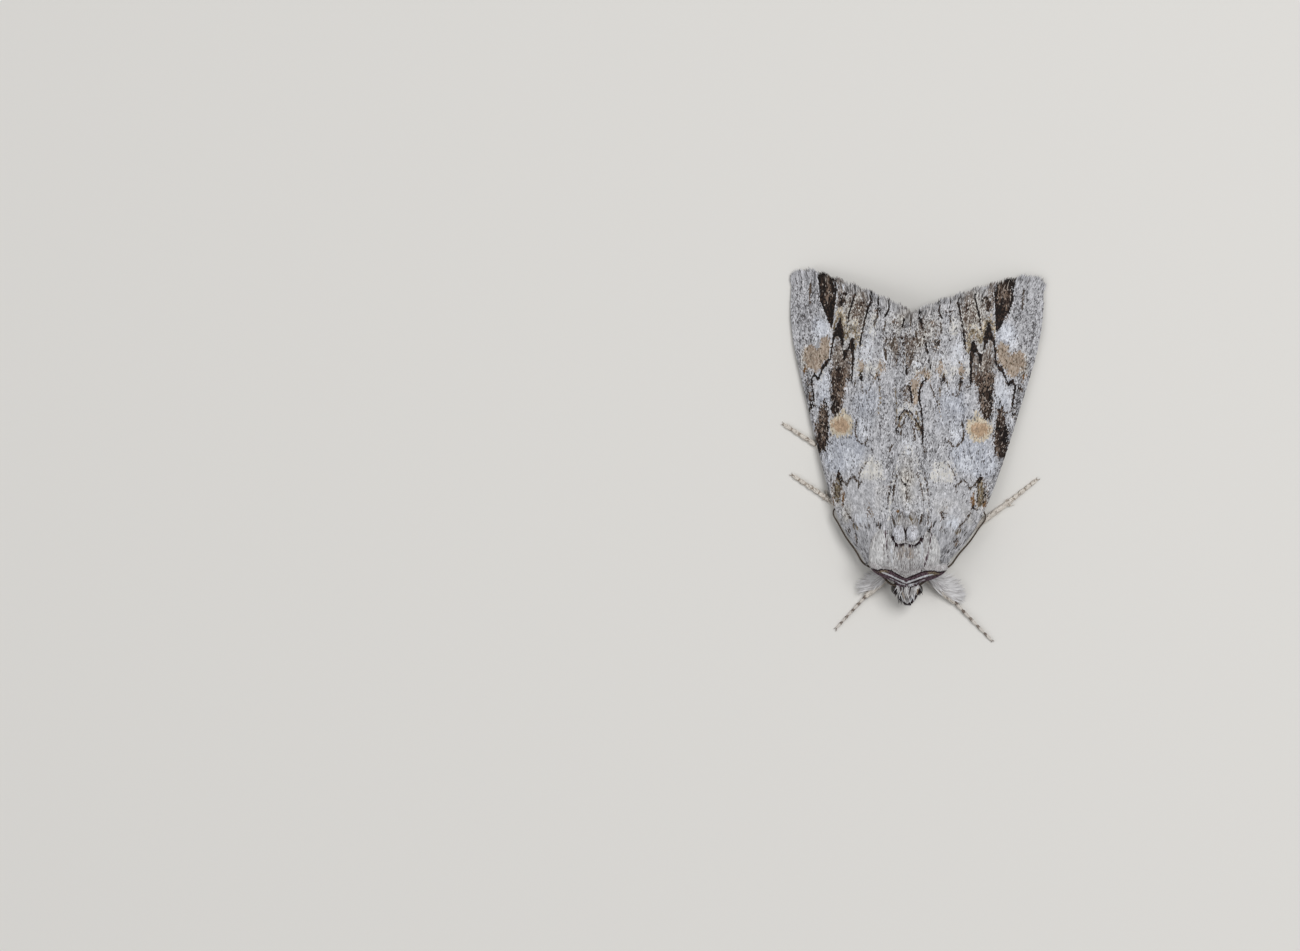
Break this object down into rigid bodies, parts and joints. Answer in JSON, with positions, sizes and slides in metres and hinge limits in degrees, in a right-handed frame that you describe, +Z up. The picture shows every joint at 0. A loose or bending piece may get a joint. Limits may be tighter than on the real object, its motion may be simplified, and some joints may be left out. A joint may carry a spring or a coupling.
{
  "type": "moth",
  "caption": "Large grey underwing moth at rest, forewings folded roof-like over the body, legs spread on the ground.",
  "frame": {"origin": "on the ground under the middle of the moth's outline, legs and wings included", "axes": "+Z up off the surface it rests on, +Y towards the tail and wing tips, +X to the moth's own left"},
  "size_m": [0.032, 0.0458, 0.0092],
  "materials": {
    "body_fur": "pale grey hair-like scales, matt",
    "collar_fur": "dark purplish-brown scales in fine pale-edged rows, matt",
    "abdomen_fur": "grey-brown short hair, matt",
    "wing_scales": "pale grey scales peppered with dark ones, matt",
    "hindwing_scales": "black-brown scales with a pale fringe, matt",
    "eye": "dark olive-black, glossy",
    "antenna": "brown-grey, matt",
    "leg_scales": "cream-grey scales, matt",
    "foot_scales": "dark with pale bands, matt"
  },
  "bodies": {
    "root": {"thorax": "body_fur", "collar": "collar_fur", "head": "body_fur", "abdomen": "abdomen_fur", "eye_left": "eye", "palp_left": "body_fur", "forewing_left": "wing_scales", "hindwing_left": "hindwing_scales", "antenna_left": "antenna", "eye_right": "eye", "palp_right": "body_fur", "forewing_right": "wing_scales", "hindwing_right": "hindwing_scales", "antenna_right": "antenna", "foreleg_left_femur": "body_fur", "foreleg_left_tibia": "leg_scales", "foreleg_left_tarsus": "foot_scales", "foreleg_right_femur": "body_fur", "foreleg_right_tibia": "leg_scales", "foreleg_right_tarsus": "foot_scales", "midleg_left_femur": "body_fur", "midleg_left_tibia": "leg_scales", "midleg_left_tarsus": "foot_scales", "midleg_right_femur": "body_fur", "midleg_right_tibia": "leg_scales", "midleg_right_tarsus": "foot_scales", "hindleg_left_femur": "body_fur", "hindleg_left_tibia": "leg_scales", "hindleg_left_tarsus": "foot_scales", "hindleg_right_femur": "body_fur", "hindleg_right_tibia": "leg_scales", "hindleg_right_tarsus": "foot_scales"}
  },
  "joints": []
}
